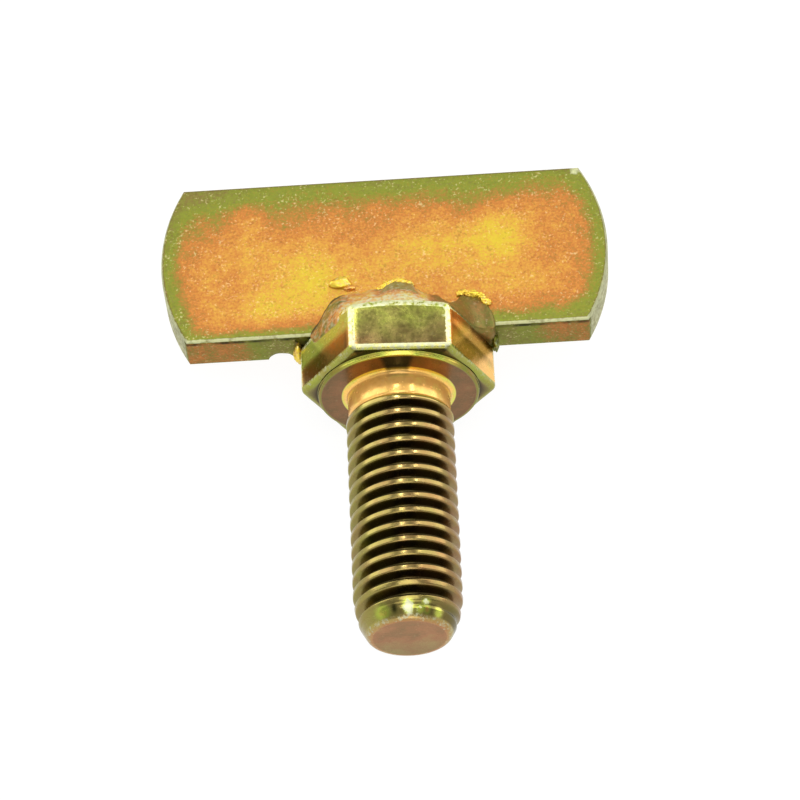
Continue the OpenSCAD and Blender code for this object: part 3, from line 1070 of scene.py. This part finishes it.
def zinc_material(name, zinc, values):
    """Yellow zinc: film colour, bright specks painted as glints, bare edges and painted highlights, and
    painted shade in the grooves, over bright metal.
    """
    material = bpy.data.materials.new(name)
    material.use_nodes = True
    sketch = Sketch(material.node_tree)
    grain = sketch.group(grain_group(), {"Scale": values["grain_scale"]})
    streaks = sketch.math("MULTIPLY", sketch.math("SUBTRACT", grain["Streaks"], 0.5), values["streaks"])
    film = sketch.group(film_group(zinc), {
        "Film": sketch.math("ADD", sketch.attribute("film"), streaks),
        "Cloud scale": values["cloud_scale"],
        "Cloud amount": values["cloud"],
        "Grain amount": values["film_grain"],
        "Gain": values["gain"],
    })
    wear = sketch.group(wear_group(), {
        "Worn": sketch.attribute("worn"),
        "Amount": values["wear"],
        "Ragged": values["ragged"],
    })
    # The pale specks are painted glints
    specks = sketch.math("MULTIPLY", grain["Specks"], values["specks"])
    pits = sketch.math("MULTIPLY", grain["Pits"], 0.6 * values["specks"])
    # Painted shade: the colour is darkened towards a near black where the painted shade mask is set
    shade_paint = sketch.math("MULTIPLY", sketch.attribute("deep"), values["shade_paint"])
    shade = film["Color"]
    layers = ((specks, zinc.cream), (pits, zinc.brown), (wear["Mask"], zinc.bare), (shade_paint, zinc.shade_paint))
    for mask, layer in layers:
        shade = sketch.mix(mask, shade, (*layer, 1))
    # Roughness varies by this much, and rises where the zinc is bare
    spread = 0.07
    bare_rough = sketch.math("MULTIPLY", wear["Mask"], 0.35)
    sheen = sketch.noise(SHEEN_SCALE, 3.0)
    rough = sketch.span(sheen, 0.2, 0.8, values["rough"] - spread, values["rough"] + spread)
    bump = sketch.node(
        "ShaderNodeBump", {"Height": grain["Height"], "Distance": values["bump"] * MM, "Strength": 1}
    )
    made = {
        "Base Color": shade,
        "Roughness": sketch.math("ADD", rough, bare_rough, clamp=True),
        "Metallic": sketch.math("SUBTRACT", 1.0, sketch.attribute("dull")),
        "Normal": bump.outputs["Normal"],
    }
    shader = sketch.tree.nodes["Principled BSDF"]
    for key, socket in made.items():
        sketch.tree.links.new(socket, shader.inputs[key])
    return material


class THUMBBOLT_OT_bolt(bpy.types.Operator):
    """Builds the hexagon bolt with its thread"""

    bl_idname = "thumb_bolt.bolt"
    bl_label = "Hexagon bolt"

    def execute(self, context):
        settings = context.scene.thumb_bolt
        material = zinc_material("bolt_zinc_finish", settings.zinc, {
            "cloud_scale": 420.0, "cloud": 0.3, "film_grain": 0.08, "gain": 1.9,
            "grain_scale": 3000.0, "specks": 0.2, "streaks": 0.05, "bump": 0.004,
            "wear": 0.95, "ragged": 1.5, "shade_paint": 1.0, "rough": 0.22,
        })
        add_piece("hexagon_bolt", bolt_mesh(settings), material, "hex_bolt")
        return {"FINISHED"}


class THUMBBOLT_OT_plate(bpy.types.Operator):
    """Builds the flat bar"""

    bl_idname = "thumb_bolt.plate"
    bl_label = "Flat bar"

    def execute(self, context):
        settings = context.scene.thumb_bolt
        material = zinc_material("plate_zinc_finish", settings.zinc, {
            "cloud_scale": 700.0, "cloud": 0.24, "film_grain": 0.36, "gain": 0.8,
            "grain_scale": 3400.0, "specks": 0.42, "streaks": 0.1, "bump": 0.02,
            "wear": 0.9, "ragged": 0.8, "shade_paint": 0.9, "rough": 0.6,
        })
        piece = add_piece("flat_bar", plate_mesh(settings), material, "thumb_plate")
        piece.data = cut_bite(piece, settings)
        finish_plate(piece.data, settings)
        piece.data.transform(on_head(settings) @ Matrix.Translation((settings.plate.shift, 0, 0)))
        piece.data.shade_smooth()
        return {"FINISHED"}


class THUMBBOLT_OT_welds(bpy.types.Operator):
    """Builds the front and the rear weld"""

    bl_idname = "thumb_bolt.welds"
    bl_label = "Welds"

    def execute(self, context):
        settings = context.scene.thumb_bolt
        material = zinc_material("weld_zinc_finish", settings.zinc, {
            "cloud_scale": 500.0, "cloud": 0.25, "film_grain": 0.2, "gain": 1.0,
            "grain_scale": 3600.0, "specks": 0.6, "streaks": 0.1, "bump": 0.02,
            "wear": 0.8, "ragged": 1.2, "shade_paint": 0.9, "rough": 0.44,
        })
        # Line of each bead on the bar in millimetres: place along the bar and height
        front_toe = (
            (-9.4, 0.2), (-8.5, 1.5), (-7.7, 2.8), (-7.0, 3.7), (-6.4, 4.2), (-5.4, 4.6), (-4.3, 4.85),
            (-3.2, 4.9), (-2.2, 4.85), (-1.4, 5.1), (-0.5, 5.55), (0.4, 5.85), (1.5, 5.85), (2.1, 5.4),
            (2.5, 4.7), (3.5, 4.2), (4.8, 3.6), (6.1, 3.1), (6.8, 3.2), (7.6, 3.8), (8.4, 3.9),
            (9.3, 3.5), (10.2, 2.9), (10.8, 2.2), (11.1, 1.4),
        )
        rear_toe = ((-11.2, 3.0), (-9.0, 4.2), (0.0, 4.6), (9.0, 4.2), (11.2, 3.0))
        face = settings.plate.thickness / 2 / MM
        mound_crust = ((-1.4, 5.5), (-0.4, 6.1), (0.6, 6.3), (1.6, 6.2), (2.3, 5.6))
        right_crust = ((7.4, 4.1), (8.4, 4.3), (9.4, 3.7), (10.3, 3.0), (10.9, 2.4))
        front = [
            bead_skin(settings, front_toe, -1),
            lump_skin((-5.9, -face, 6.5), (1.25, 0.55, 0.75), 0.25, dark=0.1),
            lump_skin((-4.9, -face, 5.8), (0.7, 0.3, 0.4), 0.3, film=0.8, dark=0.2),
            *crust_skins(mound_crust, face),
            *crust_skins(right_crust, face),
        ]
        rear = [
            bead_skin(settings, rear_toe, 1),
            lump_skin((-10.9, 0.3, -0.6), (0.6, 1.8, 0.7), 0.35),
            lump_skin((10.95, 0.3, -0.7), (0.4, 1.2, 0.8), 0.35, film=0.5, dark=0.5),
        ]
        front = skin_mesh("front_weld_bead", front, on_head(settings))
        rear = skin_mesh("rear_weld_bead", rear, on_head(settings))
        add_piece("front_weld_bead", front, material, "front_weld")
        add_piece("rear_weld_bead", rear, material, "rear_weld")
        return {"FINISHED"}


def floor_material(stage):
    """Pale floor that shows white to the camera and in reflections, and keeps a soft shadow."""
    material = bpy.data.materials.new("floor_finish")
    material.use_nodes = True
    tree = material.node_tree
    tree.nodes.clear()
    sketch = Sketch(tree)
    path = sketch.node("ShaderNodeLightPath").outputs
    seen = sketch.math("MAXIMUM", path["Is Camera Ray"], path["Is Transmission Ray"])
    seen = sketch.math("MAXIMUM", seen, path["Is Glossy Ray"])
    grey = sketch.node("ShaderNodeBsdfDiffuse", {"Color": (*stage.floor_colour, 1)})
    faint = sketch.node("ShaderNodeBsdfDiffuse", {"Color": (stage.shadow, stage.shadow, stage.shadow, 1)})
    white = sketch.node("ShaderNodeEmission", {"Color": (1, 1, 1, 1), "Strength": 1 - 0.6 * stage.shadow})
    bright = sketch.node("ShaderNodeAddShader", {0: faint.outputs[0], 1: white.outputs[0]})
    front = sketch.node("ShaderNodeMixShader", {0: seen, 1: grey.outputs[0], 2: bright.outputs[0]})
    clear = sketch.node("ShaderNodeBsdfTransparent")
    behind = sketch.node("ShaderNodeNewGeometry").outputs["Backfacing"]
    both = sketch.node("ShaderNodeMixShader", {0: behind, 1: front.outputs[0], 2: clear.outputs[0]})
    sketch.node("ShaderNodeOutputMaterial", {"Surface": both.outputs[0]})
    return material


def floor_mesh(stage):
    """Round floor that curves up into a low wall."""
    around = 96
    bend = 12
    rings = [(0.02, 0.0), (0.5 * stage.floor_radius, 0.0)]
    for step in range(bend + 1):
        lean = step / bend * math.pi / 2
        rings.append((
            stage.floor_radius + stage.wall_height * math.sin(lean),
            stage.wall_height * (1 - math.cos(lean)),
        ))
    turns = [2 * math.pi * step / around for step in range(around)]
    points = [(r * math.cos(a), r * math.sin(a), CAD_BOX[0][2] + h) for r, h in rings for a in turns]
    faces = [tuple(range(around))]
    for ring in range(len(rings) - 1):
        for step in range(around):
            beside = (step + 1) % around
            low = ring * around
            high = low + around
            faces.append((low + step, high + step, high + beside, low + beside))
    mesh = bpy.data.meshes.new("floor")
    mesh.from_pydata(points, [], faces)
    mesh.shade_smooth()
    return mesh


def add_lamp(name, place, width, radiance):
    """A round soft lamp of the given radiance, aimed at the origin."""
    data = bpy.data.lights.new(name, "AREA")
    data.shape = "DISK"
    data.size = width
    data.energy = math.pi * math.pi * width * width / 4 * radiance
    lamp = bpy.data.objects.new(name, data)
    lamp.location = place
    lamp.rotation_euler = (-Vector(place)).to_track_quat("-Z", "Y").to_euler()
    bpy.context.scene.collection.objects.link(lamp)


def add_camera(stage):
    """Camera at the viewing angle, with its roll."""
    level = math.cos(stage.camera_elevation)
    forward = Vector((
        level * math.sin(stage.camera_azimuth),
        level * math.cos(stage.camera_azimuth),
        -math.sin(stage.camera_elevation),
    ))
    data = bpy.data.cameras.new("camera")
    data.lens = stage.camera_lens
    data.sensor_width = 36
    data.clip_start = 0.01
    camera = bpy.data.objects.new("camera", data)
    aim = forward.to_track_quat("-Z", "Y").to_matrix() @ Matrix.Rotation(stage.camera_roll, 3, "Z")
    camera.matrix_world = Matrix.Translation(
        Vector(stage.camera_target) - stage.camera_distance * forward
    ) @ aim.to_4x4()
    bpy.context.scene.collection.objects.link(camera)
    bpy.context.scene.camera = camera


class THUMBBOLT_OT_stage(bpy.types.Operator):
    """Adds the floor, the light and the camera"""

    bl_idname = "thumb_bolt.stage"
    bl_label = "Stage"

    def execute(self, context):
        stage = context.scene.thumb_bolt.stage
        floor = bpy.data.objects.new("floor", floor_mesh(stage))
        floor.data.materials.append(floor_material(stage))
        context.scene.collection.objects.link(floor)
        world = bpy.data.worlds.new("studio")
        world.use_nodes = True
        background = world.node_tree.nodes["Background"]
        background.inputs["Color"].default_value = (1, 1, 1, 1)
        background.inputs["Strength"].default_value = stage.sky
        context.scene.world = world
        for lamp in LAMPS:
            add_lamp(*lamp)
        add_camera(stage)
        context.scene.view_settings.view_transform = "Standard"
        return {"FINISHED"}


class THUMBBOLT_PT_panel(bpy.types.Panel):
    """Sizes, colours and pieces of the thumb bolt"""

    bl_idname = "THUMBBOLT_PT_panel"
    bl_label = "Thumb bolt"
    bl_space_type = "VIEW_3D"
    bl_region_type = "UI"
    bl_category = "Thumb bolt"

    def draw(self, context):
        settings = context.scene.thumb_bolt
        for operator in OPERATORS:
            self.layout.operator(operator.bl_idname)
        for group in (settings.bolt, settings.plate, settings.weld, settings.zinc, settings.stage):
            box = self.layout.box()
            for name in group.bl_rna.properties.keys():
                if name not in ("rna_type", "name"):
                    box.prop(group, name)


OPERATORS = (THUMBBOLT_OT_bolt, THUMBBOLT_OT_plate, THUMBBOLT_OT_welds, THUMBBOLT_OT_stage)
CLASSES = (
    BoltSizes, PlateSizes, WeldSizes, ZincColours, StageSettings, ThumbBoltSettings,
    *OPERATORS, THUMBBOLT_PT_panel,
)


def register():
    """Registers the classes and the scene's settings."""
    for cls in CLASSES:
        bpy.utils.register_class(cls)
    bpy.types.Scene.thumb_bolt = PointerProperty(type=ThumbBoltSettings)


def unregister():
    """Takes the settings and the classes away again."""
    del bpy.types.Scene.thumb_bolt
    for cls in reversed(CLASSES):
        bpy.utils.unregister_class(cls)


def main():
    """Builds the whole scene."""
    register()
    bpy.ops.thumb_bolt.bolt()
    bpy.ops.thumb_bolt.plate()
    bpy.ops.thumb_bolt.welds()
    bpy.ops.thumb_bolt.stage()


if __name__ == "__main__":
    main()
